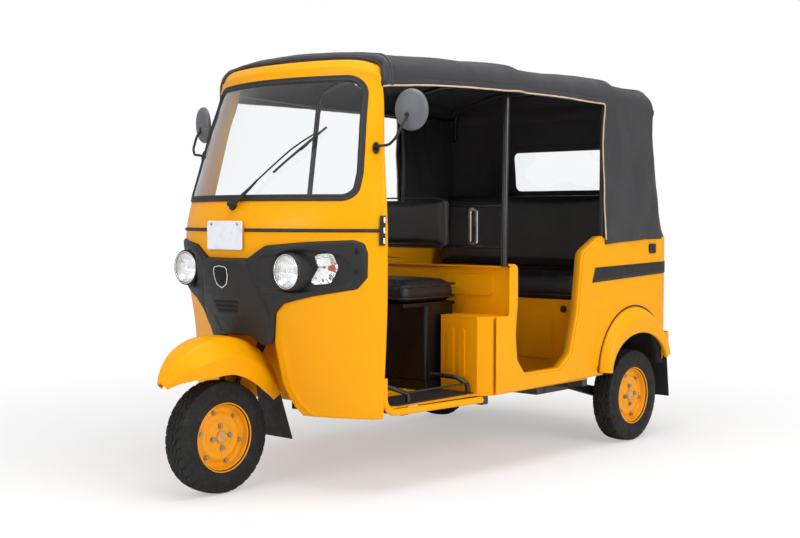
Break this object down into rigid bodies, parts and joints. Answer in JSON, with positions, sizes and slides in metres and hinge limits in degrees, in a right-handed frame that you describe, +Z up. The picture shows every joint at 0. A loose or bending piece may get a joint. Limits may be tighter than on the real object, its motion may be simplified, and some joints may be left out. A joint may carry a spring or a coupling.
{
  "type": "auto rickshaw",
  "caption": "Three-wheeled passenger auto rickshaw with a cowled driver's cab, bench seat, cloth hood, steering front wheel and hinged rear lid.",
  "frame": {"origin": "middle of the bounding box on the ground", "axes": "+X forwards along the vehicle, +Y to the driver's left, +Z up"},
  "size_m": [2.683, 1.3134, 1.716],
  "materials": {
    "body_paint": "gloss",
    "black_tube": "satin",
    "trim_black": "matte",
    "rubber_black": "matte",
    "clear_glass": "polished",
    "lamp_glass": "polished",
    "amber_lens": "polished",
    "red_lens": "polished",
    "plate_white": "satin",
    "seat_leather": "satin",
    "canopy_cloth": "matte",
    "floor_mat": "matte",
    "tyre_rubber": "matte",
    "wheel_paint": "gloss",
    "bright_metal": "polished",
    "cast_metal": "matte"
  },
  "bodies": {
    "body": {"cab_shell": "body_paint", "wheel_well": "body_paint", "windshield_gasket": "rubber_black", "windshield_glass": "clear_glass", "nose_mask": "trim_black", "headlamps": "lamp_glass", "turn_signals": "lamp_glass", "number_plate": "plate_white", "rubber_trim": "rubber_black", "wiper": "trim_black", "mirrors": "trim_black", "dashboard": "trim_black", "floor_pan": "body_paint", "floor_mats": "floor_mat", "chassis": "black_tube", "guard_tubes": "black_tube", "driver_seat_box": "trim_black", "driver_seat_cushion": "seat_leather", "driver_backrest": "seat_leather", "partition": "body_paint", "partition_rails": "black_tube", "grab_handles": "bright_metal", "passenger_seat_base": "body_paint", "passenger_seat_cushion": "seat_leather", "passenger_seat_back": "seat_leather", "rear_body": "body_paint", "rear_fenders": "body_paint", "rear_bumper": "body_paint", "tail_lamps": "red_lens", "rear_mudflaps": "rubber_black", "engine_block": "cast_metal", "rear_suspension": "black_tube", "canopy": "canopy_cloth"},
    "steering": {"steering_column": "black_tube", "front_suspension": "black_tube", "handlebar": "black_tube", "front_mudguard": "body_paint", "front_mudflap": "rubber_black"},
    "tailgate_lid": {"tailgate": "body_paint"},
    "front_wheel": {"front_tyre": "tyre_rubber", "front_rim": "wheel_paint"},
    "rear_wheel_left": {"rear_tyre_left": "tyre_rubber", "rear_rim_left": "wheel_paint"},
    "rear_wheel_right": {"rear_tyre_right": "tyre_rubber", "rear_rim_right": "wheel_paint"}
  },
  "joints": [
    {"name": "steering", "type": "hinge", "parent": "body", "child": "steering", "pos_m": [0.75961, 0, 0.7], "axis": [-0.454, 0, 0.891], "range_deg": [-34, 34]},
    {"name": "front_wheel_spin", "type": "hinge", "parent": "steering", "child": "front_wheel", "pos_m": [1.06626, 0, 0.212], "axis": [0, 1, 0], "continuous": true},
    {"name": "rear_wheel_left_spin", "type": "hinge", "parent": "body", "child": "rear_wheel_left", "pos_m": [-0.93374, 0.556, 0.212], "axis": [0, 1, 0], "continuous": true},
    {"name": "rear_wheel_right_spin", "type": "hinge", "parent": "body", "child": "rear_wheel_right", "pos_m": [-0.93374, -0.556, 0.212], "axis": [0, 1, 0], "continuous": true},
    {"name": "tailgate_hinge", "type": "hinge", "parent": "body", "child": "tailgate_lid", "pos_m": [-1.30974, 0, 0.495], "axis": [0, -1, 0], "range_deg": [0, 95]}
  ]
}
